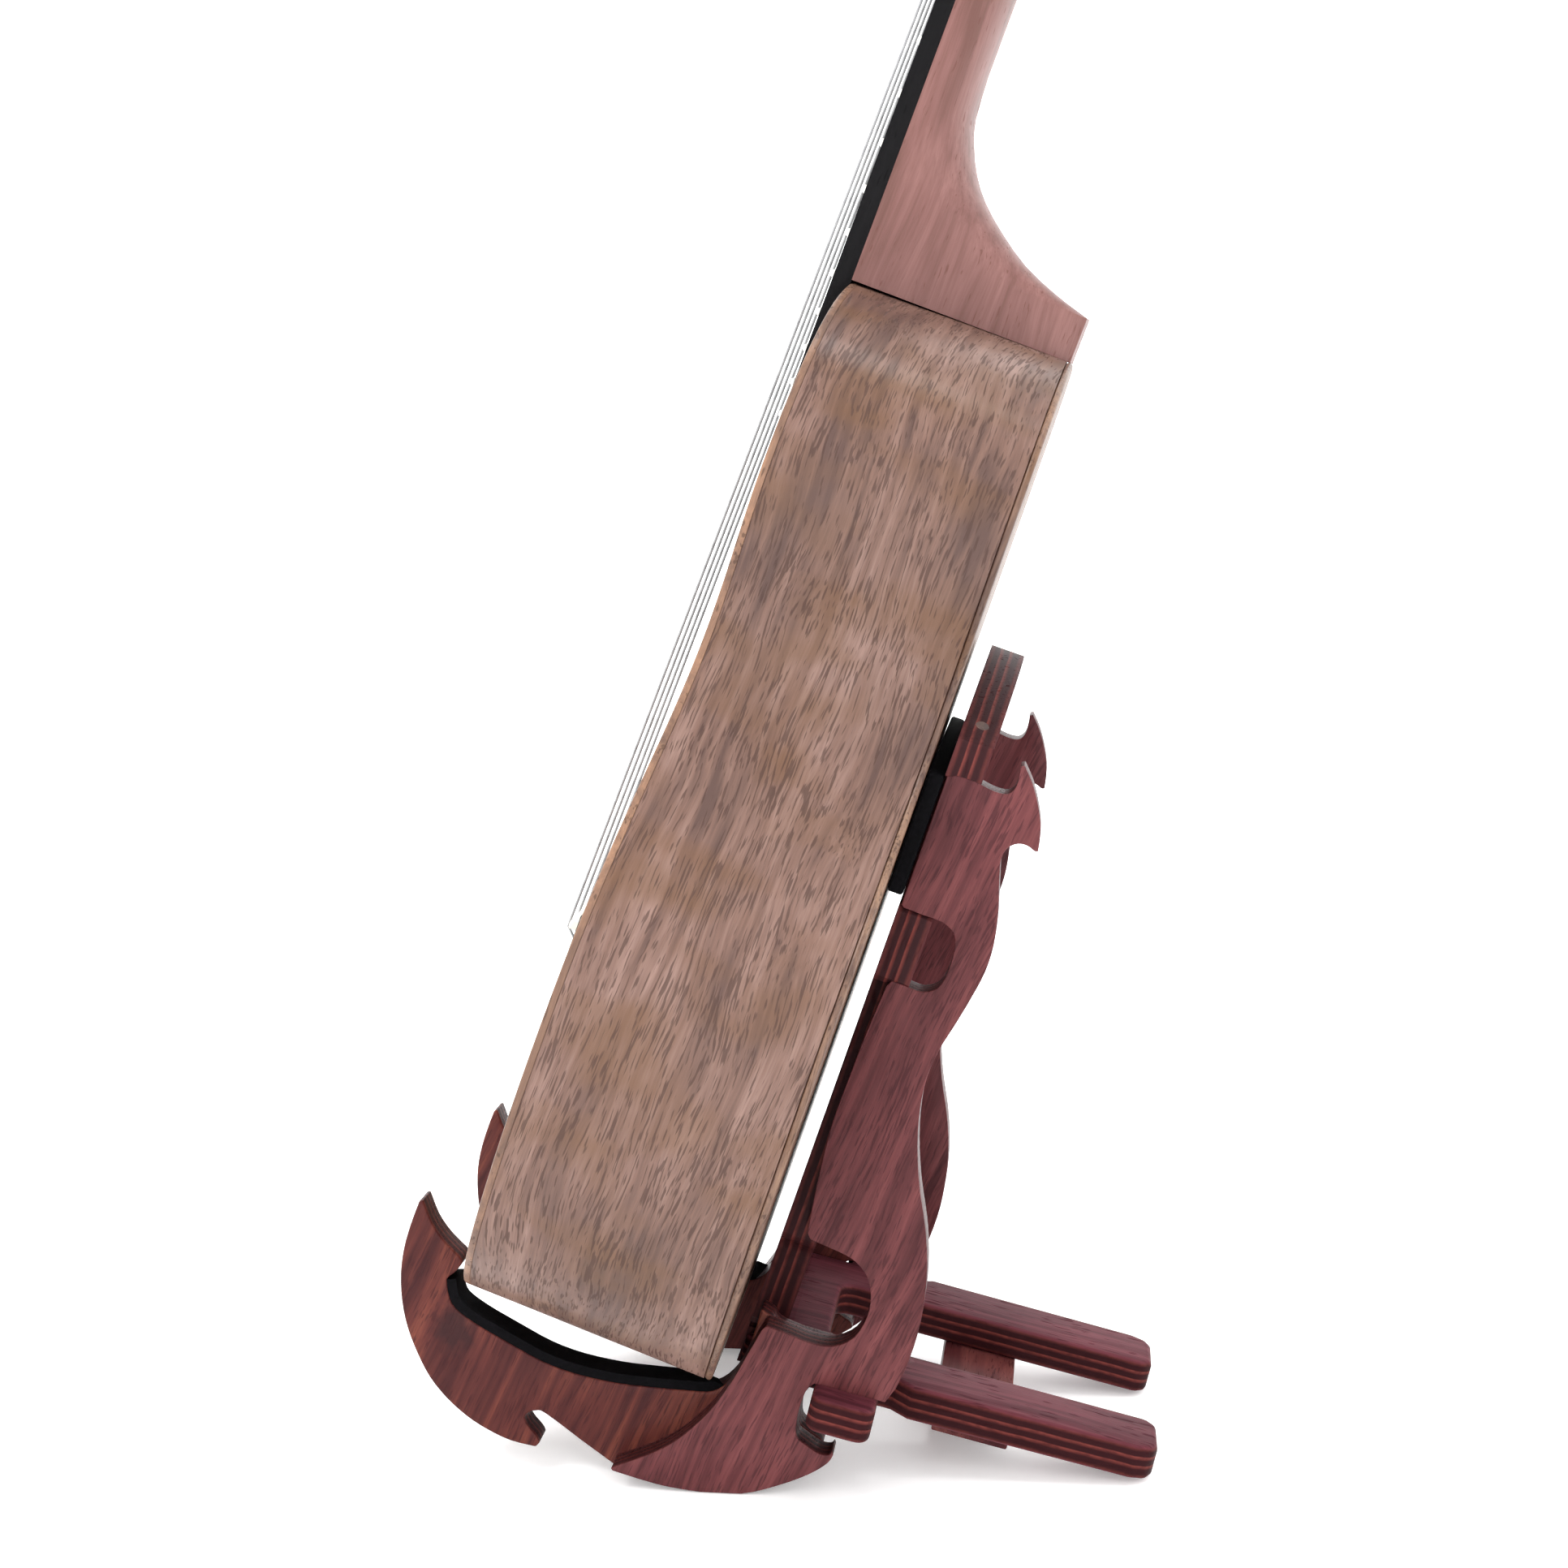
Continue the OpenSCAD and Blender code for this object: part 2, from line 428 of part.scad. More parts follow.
module tuner_screws() color([0.7, 0.7, 0.72]) for (i = [0:3]) at_tuner(i) {
  translate([0, 22.6, 10.4]) rotate([-90, 0, 0]) cylinder(r = 1.0, h = 1.6, $fn = 20);
  translate([0, 24.02, 10.4]) rotate([-90, 0, 0]) difference() {
    cylinder(r = 2, h = 1, $fn = 24);
    translate([-2.5, -0.25, 0.6]) cube([5, 0.5, 1]);
    translate([-0.25, -2.5, 0.6]) cube([0.5, 5, 1]);
  }
}
module post(i) color([0.82, 0.82, 0.84]) at_tuner(i) difference() {
  rotate([-90, 0, 0]) union() {
    translate([0, 0, -14]) cylinder(r = 3, h = 30);
    translate([0, 0, 16]) cylinder(r = 5.1, h = 5.6);
  }
  translate([0, -10, -6]) cylinder(r = 0.8, h = 12, $fn = 20);
}
module button(i) color([0.9, 0.88, 0.83]) at_tuner(i) translate([0, 18.75, WORM_Z]) {
  rotate([0, 90, 0]) cylinder(r = 1.6, h = 25);
  translate([-4.4, 0, 0]) rotate([0, 90, 0]) cylinder(r = 2.0, h = 8.8);
  translate([17, 0, 0]) rotate([0, 90, 0]) cylinder(r = 2.6, h = 3);
  translate([19.9, 3, 0]) rotate([90, 0, 0]) linear_extrude(6) polygon(concat(
    [[0, -3], [2, -6.4]], arc([8, 0], 8.4, -55, 55, 10), [[2, 6.4], [0, 3]]));
}
module button_1() button(0);
module button_2() button(1);
module button_3() button(2);
module button_4() button(3);
module post_1() post(0);
module post_2() post(1);
module post_3() post(2);
module post_4() post(3);

// ---- strings -------------------------------------------------------------
function turn_y(p, a) = [p[0], p[1] * cos(a) + p[2] * sin(a), -p[1] * sin(a) + p[2] * cos(a)];
function in_head(p) = let (q = turn_y(p, HEAD_TILT)) [q[0], q[1], q[2] + HEAD_Z];
function unit(v) = v / norm(v);
// round tube of radius r through the points q, with n sides
module tube(q, r, n) {
  m = len(q);
  across = in_head([0, 1, 0]) - in_head([0, 0, 0]);
  rings = [for (i = [0:m - 1])
    let (t = unit(q[min(i + 1, m - 1)] - q[max(i - 1, 0)]), u = unit(cross(t, across)),
      v = cross(t, u))
    for (k = [0:n - 1]) q[i] + r * (cos(360 * k / n) * u + sin(360 * k / n) * v)];
  sides = [for (i = [0:m - 2]) for (k = [0:n - 1]) let (a = i * n + k, b = i * n + (k + 1) % n)
    each [[a, b, a + n], [b, b + n, a + n]]];
  polyhedron(rings, concat([[for (k = [n - 1:-1:0]) k]], sides,
    [[for (k = [0:n - 1]) (m - 1) * n + k]]));
}
// post that each string winds on, counted across from -X
POST_OF = [2, 3, 1, 0];
TURNS = 2.25;
module string(k) color([0.72, 0.72, 0.74]) uke() {
  xs = -21 + 14 * k;
  i = POST_OF[k];
  s = tun_x(i) > 0 ? 1 : -1;
  coil = [for (j = [0:14 * TURNS]) in_head([tun_x(i) - s * 3.6 * cos(360 * j / 14), -8.4 + 0.9 * j / 14,
      tun_z(i) + 3.6 * sin(360 * j / 14)])];
  tube(concat([[xs, -6.6, 101.4], [xs, -6.6, 109.6], [xs, STR_SAD_Y, SADDLE_Z - 1.6],
    [xs, STR_SAD_Y, SADDLE_Z + 1.6], [-14 + 28 / 3 * k, STR_NUT_Y, NUT_Z],
    [-14 + 28 / 3 * k, STR_NUT_Y, NUT_Z + 4.6]], coil), STR_R, 8);
}
module string_1() string(0);
module string_2() string(1);
module string_3() string(2);
module string_4() string(3);

side_panel_right();
side_panel_left();
cradle_arm_right();
cradle_arm_left();
back_panel();
base_plate();
crossbar();
edge_plug();
back_pad();
cradle_pad_right();
cradle_pad_left();
soundboard();
rosette();
back_plate();
side_ribs();
neck_block();
tail_block();
front_lining();
back_lining();
front_braces();
back_braces();
bridge_patch();
bridge();
saddle();
neck();
fingerboard();
frets();
face_dots();
edge_dots();
nut();
head_veneer();
tuner_housings();
tuner_bushings();
tuner_screws();
button_1();
button_2();
button_3();
button_4();
post_1();
post_2();
post_3();
post_4();
string_1();
string_2();
string_3();
string_4();
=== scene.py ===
"""Finishes, light and camera for a tenor ukulele that rests in its plywood stand."""

import json
import logging
import math
from dataclasses import dataclass, field
from enum import Enum
from typing import Any, Sequence

import bpy
from mathutils import Matrix, Vector

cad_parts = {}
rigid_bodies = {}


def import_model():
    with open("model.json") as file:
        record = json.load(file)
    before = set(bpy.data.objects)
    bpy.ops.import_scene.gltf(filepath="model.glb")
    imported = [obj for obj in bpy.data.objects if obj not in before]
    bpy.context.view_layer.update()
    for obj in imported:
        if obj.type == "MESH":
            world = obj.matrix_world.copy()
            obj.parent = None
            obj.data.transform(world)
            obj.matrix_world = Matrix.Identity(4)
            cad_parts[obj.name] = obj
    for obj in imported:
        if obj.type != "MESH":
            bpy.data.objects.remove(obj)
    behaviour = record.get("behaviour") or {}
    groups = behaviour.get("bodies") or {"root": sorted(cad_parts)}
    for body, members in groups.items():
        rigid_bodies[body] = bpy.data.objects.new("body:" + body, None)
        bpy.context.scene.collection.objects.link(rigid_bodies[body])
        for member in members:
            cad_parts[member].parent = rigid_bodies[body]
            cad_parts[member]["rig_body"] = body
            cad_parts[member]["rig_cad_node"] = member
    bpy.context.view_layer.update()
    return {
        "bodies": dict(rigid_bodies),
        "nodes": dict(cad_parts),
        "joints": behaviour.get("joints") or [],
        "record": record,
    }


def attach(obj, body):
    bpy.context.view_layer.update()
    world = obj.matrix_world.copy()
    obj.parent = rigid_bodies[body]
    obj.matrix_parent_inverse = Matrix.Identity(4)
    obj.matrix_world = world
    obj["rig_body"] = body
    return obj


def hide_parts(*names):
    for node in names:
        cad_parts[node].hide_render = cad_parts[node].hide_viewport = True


LOG = logging.getLogger("ukulele")
MM = 0.001
LEAN = math.radians(20.5)  # lean of the sound box
BACK_LEAN = math.radians(18.92)  # lean of the back and of the plate behind it
PANEL_GRAIN = math.radians(25.0)  # grain of the side panels, from upright
BASE_GRAIN = math.radians(103.5)  # grain of the sloping base plate runs down the slope
TAIL = Vector((0.0, -0.1262, 0.0349))  # foot of the sound box frame


def linear(colour: str) -> tuple[float, float, float, float]:
    """Turn an sRGB hex colour into a linear RGBA tuple.

    Args:
        colour: six hex digits with a leading hash.

    Returns:
        The linear colour with full alpha.
    """
    parts = [int(colour[i : i + 2], 16) / 255 for i in (1, 3, 5)]
    low = [p / 12.92 if p <= 0.04045 else ((p + 0.055) / 1.055) ** 2.4 for p in parts]
    return low[0], low[1], low[2], 1.0


def add_node(
    tree: bpy.types.NodeTree,
    kind: str,
    props: dict[str, Any] | None = None,
    values: dict[str | int, Any] | None = None,
    links: dict[str | int, bpy.types.NodeSocket] | None = None,
) -> bpy.types.Node:
    """Add one node, set it up and link its inputs.

    Args:
        tree: the material's node tree.
        kind: the node's type name.
        props: attributes to set on the node.
        values: default values by input name or number.
        links: sockets that feed inputs, by input name or number.

    Returns:
        The new node.
    """
    node = tree.nodes.new(kind)
    for name, value in (props or {}).items():
        setattr(node, name, value)
    for name, value in (values or {}).items():
        node.inputs[name].default_value = value
    for name, socket in (links or {}).items():
        tree.links.new(socket, node.inputs[name])
    return node


def ramp_stops(node: bpy.types.Node, stops: Sequence[tuple[float, str]]) -> None:
    """Give a colour ramp its stops.

    Args:
        node: the colour ramp node.
        stops: place and sRGB hex colour of each stop, in order.
    """
    ramp = node.color_ramp
    while len(ramp.elements) < len(stops):
        ramp.elements.new(0.5)
    for element, (place, colour) in zip(ramp.elements, stops):
        element.position = place
        element.color = linear(colour)


TONE_SPAN = (0.72, 1.28)  # streaks and clouds added together, from darkest to lightest
TONE_STOPS = (0.1, 0.5, 0.95)  # where the dark, middle and light colours stand
FIBRE_MM = (0.5, 10.0)  # width and length of the fine fibres
PATCH_MM = (9.0, 26.0)  # patches where pores crowd together
WAVE_MM = (30.0, 70.0)  # width and length of the waves in the grain
WAVE_REACH = 9 * MM  # how far the grain wanders
BUMP_DEPTH = 0.25 * MM  # height of the grain's relief


class Follow(Enum):
    """What a grain pattern follows."""

    OBJECT = "Object"
    UNWRAP = "UV"


@dataclass(frozen=True)
class Knot:
    """A small knot in the wood: its centre, half sizes in millimetres and colour."""

    centre: tuple[float, float, float]
    size: tuple[float, float, float]
    colour: str


@dataclass(frozen=True)
class Timber:
    """Open-pored mahogany-like wood, sanded and wiped with satin lacquer.

    The pores stay as short dark dashes along the grain, the figure is cloudy, and the
    lacquer gives a soft sheen that is broken by the pores. Real pores are about 0.2 mm
    wide; they are drawn 0.5 to 1.2 mm wide, because finer ones would not show.

    Attributes:
        name: the finish, for its material.
        light, middle, dark, pore: sRGB hex colours of the figure and of its pores.
        turn, roll: turns about X and Y that bring the grain upright.
        follow: what the pattern follows.
        pore_mm, cloud_mm, streak_mm: width and length of one dash, cloud and streak.
        pore_share: how much of the face the pores take.
        rough, coat, gloss: roughness, lacquer and specular level.
        relief: strength of the fine relief.
        knots: the knots in the face.
        tint, tint_mm: colour of warmer patches and their size, where there are any.
        pore_depth: how dark the pores are.
    """

    name: str
    light: str
    middle: str
    dark: str
    pore: str
    turn: float = LEAN
    roll: float = 0.0
    follow: Follow = Follow.OBJECT
    pore_mm: tuple[float, float] = (1.15, 7.5)
    pore_share: float = 0.4
    cloud_mm: tuple[float, float] = (24.0, 62.0)
    streak_mm: tuple[float, float] = (2.6, 120.0)
    rough: float = 0.46
    coat: float = 0.12
    relief: float = 0.22
    knots: tuple[Knot, ...] = ()
    tint: str = ""
    tint_mm: tuple[float, float] = (38.0, 26.0)
    pore_depth: float = 0.6
    gloss: float = 0.3

    def stretched(
        self, tree: bpy.types.NodeTree, place: bpy.types.NodeSocket, across: float, along: float
    ) -> bpy.types.NodeSocket:
        """Scale coordinates so that one unit is a given width and length of grain.

        Args:
            tree: the material's node tree.
            place: coordinates with the grain along Z.
            across: width of one unit in millimetres.
            along: length of one unit in millimetres.

        Returns:
            The scaled coordinates.
        """
        scale = (1 / (across * MM), 1 / (across * MM), 1 / (along * MM))
        return add_node(
            tree, "ShaderNodeMapping", values={"Scale": scale}, links={"Vector": place}
        ).outputs[0]

    def grain_place(self, tree: bpy.types.NodeTree) -> bpy.types.NodeSocket:
        """Coordinates turned so that the grain runs along Z, gently wavy.

        Args:
            tree: the material's node tree.

        Returns:
            The coordinates in metres.
        """
        source = add_node(tree, "ShaderNodeTexCoord").outputs[self.follow.value]
        turned = add_node(
            tree,
            "ShaderNodeMapping",
            values={"Rotation": (self.turn, self.roll, 0.0)},
            links={"Vector": source},
        ).outputs[0]
        slow = self.stretched(tree, turned, *WAVE_MM)
        wave = add_node(
            tree, "ShaderNodeTexNoise", values={"Scale": 1.0, "Detail": 1.0}, links={"Vector": slow}
        )
        centred = add_node(
            tree,
            "ShaderNodeVectorMath",
            props={"operation": "SUBTRACT"},
            values={1: (0.5, 0.5, 0.5)},
            links={0: wave.outputs["Color"]},
        ).outputs[0]
        bent = add_node(
            tree,
            "ShaderNodeVectorMath",
            props={"operation": "MULTIPLY"},
            values={1: (WAVE_REACH, WAVE_REACH, 0.0)},
            links={0: centred},
        ).outputs[0]
        return add_node(
            tree, "ShaderNodeVectorMath", props={"operation": "ADD"}, links={0: turned, 1: bent}
        ).outputs[0]

    def noise(
        self,
        tree: bpy.types.NodeTree,
        place: bpy.types.NodeSocket,
        size: tuple[float, float],
        detail: float,
    ) -> bpy.types.NodeSocket:
        """Grain noise of a real size.

        Args:
            tree: the material's node tree.
            place: coordinates with the grain along Z.
            size: width and length of one unit in millimetres.
            detail: octaves of finer noise.

        Returns:
            The noise value.
        """
        return add_node(
            tree,
            "ShaderNodeTexNoise",
            values={"Scale": 1.0, "Detail": detail, "Roughness": 0.55},
            links={"Vector": self.stretched(tree, place, *size)},
        ).outputs[0]

    def mixed(
        self,
        tree: bpy.types.NodeTree,
        share: bpy.types.NodeSocket,
        first: bpy.types.NodeSocket,
        second: bpy.types.NodeSocket | str,
    ) -> bpy.types.NodeSocket:
        """Blend two colours.

        Args:
            tree: the material's node tree.
            share: how much of the second colour.
            first: the first colour.
            second: the second colour, or its hex value.

        Returns:
            The blended colour.
        """
        fixed = isinstance(second, str)
        return add_node(
            tree,
            "ShaderNodeMix",
            props={"data_type": "RGBA", "blend_type": "MIX"},
            values={7: linear(second)} if fixed else {},
            links={0: share, 6: first} if fixed else {0: share, 6: first, 7: second},
        ).outputs[2]

    def range_of(
        self,
        tree: bpy.types.NodeTree,
        value: bpy.types.NodeSocket,
        low: float,
        high: float,
        out: tuple[float, float] = (0.0, 1.0),
    ) -> bpy.types.NodeSocket:
        """Map part of a value's range to another range.

        Args:
            tree: the material's node tree.
            value: the value to map.
            low: the value that gives the first output.
            high: the value that gives the second output.
            out: the two outputs.

        Returns:
            The mapped value.
        """
        return add_node(
            tree,
            "ShaderNodeMapRange",
            values={1: low, 2: high, 3: out[0], 4: out[1]},
            links={0: value},
        ).outputs[0]

    def surface(
        self, tree: bpy.types.NodeTree, place: bpy.types.NodeSocket
    ) -> tuple[bpy.types.NodeSocket, bpy.types.NodeSocket]:
        """Colour and pore mask of the wood's face.

        Args:
            tree: the material's node tree.
            place: coordinates with the grain along Z.

        Returns:
            The colour and the pore mask.
        """
        streak = self.noise(tree, place, self.streak_mm, 3.0)
        cloud = self.noise(tree, place, self.cloud_mm, 2.0)
        tone = add_node(
            tree, "ShaderNodeMath", props={"operation": "ADD"}, links={0: streak, 1: cloud}
        ).outputs[0]
        tone = self.range_of(tree, tone, *TONE_SPAN)
        ramp = add_node(tree, "ShaderNodeValToRGB", links={"Fac": tone})
        ramp_stops(ramp, tuple(zip(TONE_STOPS, (self.dark, self.middle, self.light))))
        fibre = self.noise(tree, place, FIBRE_MM, 1.0)
        shade = self.range_of(tree, fibre, 0.35, 0.7, (0.0, 0.35))
        colour = self.mixed(tree, shade, ramp.outputs[0], self.dark)
        if self.tint:
            band = self.noise(tree, place, self.tint_mm, 2.0)
            warm = self.range_of(tree, band, 0.46, 0.66, (0.0, 0.62))
            colour = self.mixed(tree, warm, colour, self.tint)
        dash = self.noise(tree, place, self.pore_mm, 1.0)
        patch = self.noise(tree, place, PATCH_MM, 1.0)
        crowd = self.range_of(tree, patch, 0.3, 0.7, (-0.07, 0.07))
        dense = add_node(
            tree, "ShaderNodeMath", props={"operation": "ADD"}, links={0: dash, 1: crowd}
        ).outputs[0]
        edge = 0.74 - 0.3 * self.pore_share
        pores = self.range_of(tree, dense, edge, edge + 0.07)
        strong = self.range_of(tree, pores, 0.0, 1.0, (0.0, self.pore_depth))
        colour = self.mixed(tree, strong, colour, self.pore)
        for knot in self.knots:
            colour = self.knotted(tree, colour, knot)
        return colour, pores

    def knotted(
        self, tree: bpy.types.NodeTree, colour: bpy.types.NodeSocket, knot: Knot
    ) -> bpy.types.NodeSocket:
        """Lay one soft-edged knot over the colour.

        Args:
            tree: the material's node tree.
            colour: the wood's colour.
            knot: the knot.

        Returns:
            The colour with the knot.
        """
        where = add_node(tree, "ShaderNodeTexCoord").outputs["Object"]
        moved = add_node(
            tree,
            "ShaderNodeVectorMath",
            props={"operation": "SUBTRACT"},
            values={1: tuple(c * MM for c in knot.centre)},
            links={0: where},
        ).outputs[0]
        scaled = add_node(
            tree,
            "ShaderNodeVectorMath",
            props={"operation": "DIVIDE"},
            values={1: tuple(s * MM for s in knot.size)},
            links={0: moved},
        ).outputs[0]
        ripple = add_node(
            tree, "ShaderNodeTexNoise", values={"Scale": 2.2, "Detail": 2.0}, links={"Vector": scaled}
        ).outputs[0]
        reach = add_node(
            tree, "ShaderNodeVectorMath", props={"operation": "LENGTH"}, links={0: scaled}
        ).outputs["Value"]
        uneven = add_node(
            tree, "ShaderNodeMath", props={"operation": "ADD"}, links={0: reach, 1: ripple}
        ).outputs[0]
        share = self.range_of(tree, uneven, 1.75, 1.05, (0.0, 0.85))
        return self.mixed(tree, share, colour, knot.colour)

    def build(self, piece: bpy.types.Object | None = None) -> bpy.types.Material:
        """Make the material.

        Args:
            piece: the piece that it is for, where its place in the wood matters.

        Returns:
            The material.
        """
        material = bpy.data.materials.new(self.name)
        material.use_nodes = True
        tree = material.node_tree
        shader = tree.nodes["Principled BSDF"]
        shader.inputs["IOR"].default_value = 1.5
        shader.inputs["Coat Weight"].default_value = self.coat
        shader.inputs["Coat Roughness"].default_value = 0.2
        shader.inputs["Specular IOR Level"].default_value = self.gloss
        place = self.grain_place(tree)
        colour, pores = self.surface(tree, place)
        colour = self.edged(tree, place, colour, piece)
        tree.links.new(colour, shader.inputs["Base Color"])
        rough = self.range_of(tree, pores, 0.0, 1.0, (self.rough, min(1.0, self.rough + 0.25)))
        tree.links.new(rough, shader.inputs["Roughness"])
        fine = self.noise(tree, place, (0.45, 6.0), 1.0)
        depth = add_node(
            tree, "ShaderNodeMath", props={"operation": "SUBTRACT"}, links={0: fine, 1: pores}
        ).outputs[0]
        bump = add_node(
            tree,
            "ShaderNodeBump",
            values={"Strength": self.relief, "Distance": BUMP_DEPTH},
            links={"Height": depth},
        ).outputs[0]
        tree.links.new(bump, shader.inputs["Normal"])
        return material

    def edged(
        self,
        tree: bpy.types.NodeTree,
        place: bpy.types.NodeSocket,
        colour: bpy.types.NodeSocket,
        piece: bpy.types.Object | None,
    ) -> bpy.types.NodeSocket:
        """Solid wood looks the same on its edges."""
        return colour


# Depth through a plate of seven veneers, from 0 to 1, and whether the line there is pale
PLY_LAYERS = (
    (0.0, True),
    (0.16, False),
    (0.29, False),
    (0.32, True),
    (0.42, False),
    (0.56, False),
    (0.59, True),
    (0.69, False),
    (0.83, False),
    (1.0, True),
)
FACE_DEPTH = 0.035  # the face veneer's share of the thickness
LAYER_START = 0.1  # depth at which the layers show in full
GRIT_MM = (1.1, 2.6)  # size of the torn grain on a routed edge


class Thickness(Enum):
    """The direction of a plate's thickness, once the grain runs along Z."""

    X = 0
    Y = 1


@dataclass(frozen=True)
class Ply(Timber):
    """Stained plywood with routed, lacquered edges.

    The face veneer is red-brown with inclined pores; the round-overs cut through the
    layers, which show as uneven dark and pale lines.
    """

    through: Thickness = Thickness.X
    layer_dark: str = "#2A0F12"
    layer_pale: str = "#6C332E"

    def edged(
        self,
        tree: bpy.types.NodeTree,
        place: bpy.types.NodeSocket,
        colour: bpy.types.NodeSocket,
        piece: bpy.types.Object | None,
    ) -> bpy.types.NodeSocket:
        """Show the layers wherever the surface lies inside the plate's thickness.

        Args:
            tree: the material's node tree.
            place: coordinates with the grain along Z.
            colour: the face's colour.
            piece: the plate.

        Returns:
            The colour with its layers.
        """
        turn = Matrix.Rotation(self.turn, 3, "X")
        depths = [(turn @ v.co)[self.through.value] for v in piece.data.vertices]
        source = add_node(tree, "ShaderNodeTexCoord").outputs["Object"]
        turned = add_node(
            tree,
            "ShaderNodeMapping",
            values={"Rotation": (self.turn, 0.0, 0.0)},
            links={"Vector": source},
        ).outputs[0]
        parts = add_node(tree, "ShaderNodeSeparateXYZ", links={0: turned})
        depth = self.range_of(
            tree, parts.outputs[self.through.value], min(depths), max(depths)
        )
        wander = self.noise(tree, place, (14.0, 14.0), 2.0)
        shift = self.range_of(tree, wander, 0.3, 0.7, (-0.012, 0.012))
        wavy = add_node(
            tree, "ShaderNodeMath", props={"operation": "ADD"}, links={0: depth, 1: shift}
        ).outputs[0]
        layers = add_node(tree, "ShaderNodeValToRGB", links={"Fac": wavy})
        ramp_stops(
            layers,
            tuple((x, self.layer_pale if pale else self.layer_dark) for x, pale in PLY_LAYERS),
        )
        grit = self.noise(tree, place, GRIT_MM, 2.0)
        mottle = self.range_of(tree, grit, 0.4, 0.7, (0.0, 0.5))
        edge_colour = self.mixed(tree, mottle, layers.outputs[0], self.layer_dark)
        low = self.range_of(tree, depth, FACE_DEPTH, LAYER_START)
        high = self.range_of(tree, depth, 1 - FACE_DEPTH, 1 - LAYER_START)
        inside = add_node(
            tree, "ShaderNodeMath", props={"operation": "MULTIPLY"}, links={0: low, 1: high}
        ).outputs[0]
        return self.mixed(tree, inside, colour, edge_colour)


@dataclass(frozen=True)
class Coating:
    """A plain material with fine mottling and a fine relief, for foam, metal and plastics."""

    name: str
    colour: str
    second: str
    grain_mm: float
    rough: tuple[float, float]
    relief: float = 0.1
    metal: float = 0.0
    coat: float = 0.0
    glass: float = 0.0
    gloss: float = 0.5

    def build(self, piece: bpy.types.Object | None = None) -> bpy.types.Material:
        """Make the material.

        Args:
            piece: not used; the finish is the same wherever it lies.

        Returns:
            The material.
        """
        material = bpy.data.materials.new(self.name)
        material.use_nodes = True
        tree = material.node_tree
        shader = tree.nodes["Principled BSDF"]
        shader.inputs["Metallic"].default_value = self.metal
        shader.inputs["Coat Weight"].default_value = self.coat
        shader.inputs["Transmission Weight"].default_value = self.glass
        shader.inputs["Specular IOR Level"].default_value = self.gloss
        place = add_node(tree, "ShaderNodeTexCoord").outputs["Object"]
        speck = add_node(
            tree,
            "ShaderNodeTexNoise",
            values={"Scale": 1 / (self.grain_mm * MM), "Detail": 3.0},
            links={"Vector": place},
        ).outputs[0]
        ramp = add_node(tree, "ShaderNodeValToRGB", links={"Fac": speck})
        ramp_stops(ramp, ((0.3, self.colour), (0.7, self.second)))
        tree.links.new(ramp.outputs[0], shader.inputs["Base Color"])
        rough = add_node(
            tree,
            "ShaderNodeMapRange",
            values={1: 0.3, 2: 0.7, 3: self.rough[0], 4: self.rough[1]},
            links={0: speck},
        ).outputs[0]
        tree.links.new(rough, shader.inputs["Roughness"])
        bump = add_node(
            tree,
            "ShaderNodeBump",
            values={"Strength": self.relief, "Distance": 0.2 * MM},
            links={"Height": speck},
        ).outputs[0]
        tree.links.new(bump, shader.inputs["Normal"])
        return material


Finish = Timber | Coating

# Bent mahogany sides: cloudy brown with golden patches, fine dark dashes round the box
RIM = Timber(
    "open-pored mahogany rim",
    light="#7F645A",
    middle="#684D42",
    dark="#49332C",
    pore="#38241D",
    follow=Follow.UNWRAP,
    turn=math.radians(90.0),
    pore_share=0.62,
    pore_mm=(0.55, 8.0),
    pore_depth=0.7,
    tint="#5A3C23",
    knots=(Knot((74.0, 11.0, 336.0), (26.0, 2.6, 5.0), "#5C302A"),),
)
# The same mahogany as a flat plate, its dashes along the neck
BACK = Timber(
    "open-pored mahogany back",
    light="#80634F",
    middle="#674D3F",
    dark="#4A352D",
    pore="#382620",
    pore_mm=(0.55, 8.0),
    tint="#5A3C23",
    pore_share=0.5,
)
# Plain mahogany soundboard, its pores a little wider and fewer
TOP = Timber(
    "mahogany soundboard",
    light="#8A6750",
    middle="#745644",
    dark="#5A4236",
    pore="#38271F",
    pore_share=0.4,
)
# Carved mahogany neck, smoother and pinker than the box, with few pores
NECK = Timber(
    "satin mahogany neck",
    light="#7D5651",
    middle="#6F4944",
    dark="#5C3932",
    pore="#5A362F",
    pore_share=0.2,
    pore_mm=(0.8, 5.0),
    cloud_mm=(16.0, 50.0),
    relief=0.12,
)
# Sawn cedar without lacquer: pale, matt and dry
INNER = Timber(
    "bare cedar inside",
    light="#D8B98C",
    middle="#C4A274",
    dark="#A8865C",
    pore="#8A6A44",
    pore_share=0.15,
    rough=0.7,
    coat=0.0,
)
# Hardwood dyed black and oiled: near black, without a hard reflection
EBONY = Timber(
    "oiled ebonised board",
    light="#111012",
    middle="#0B0A0C",
    dark="#070608",
    pore="#050506",
    pore_share=0.25,
    rough=0.55,
    coat=0.0,
    gloss=0.1,
    relief=0.1,
)
# Rosewood veneer under gloss lacquer: dark brown with a clear reflection
VENEER = Timber(
    "rosewood head veneer",
    light="#5A3A2C",
    middle="#402820",
    dark="#281813",
    pore="#170E0B",
    pore_share=0.4,
    rough=0.34,
    coat=0.35,
)
# Plywood stained plum red, satin lacquer, long dark dashes on the slant
PANEL_PLY = Ply(
    "stained plywood panel",
    light="#6C3A3B",
    middle="#562B2D",
    dark="#3F1B1E",
    pore="#34191D",
    turn=PANEL_GRAIN,
    pore_share=0.56,
    pore_mm=(0.55, 7.0),
    gloss=0.12,
    coat=0.06,
    rough=0.46,
)
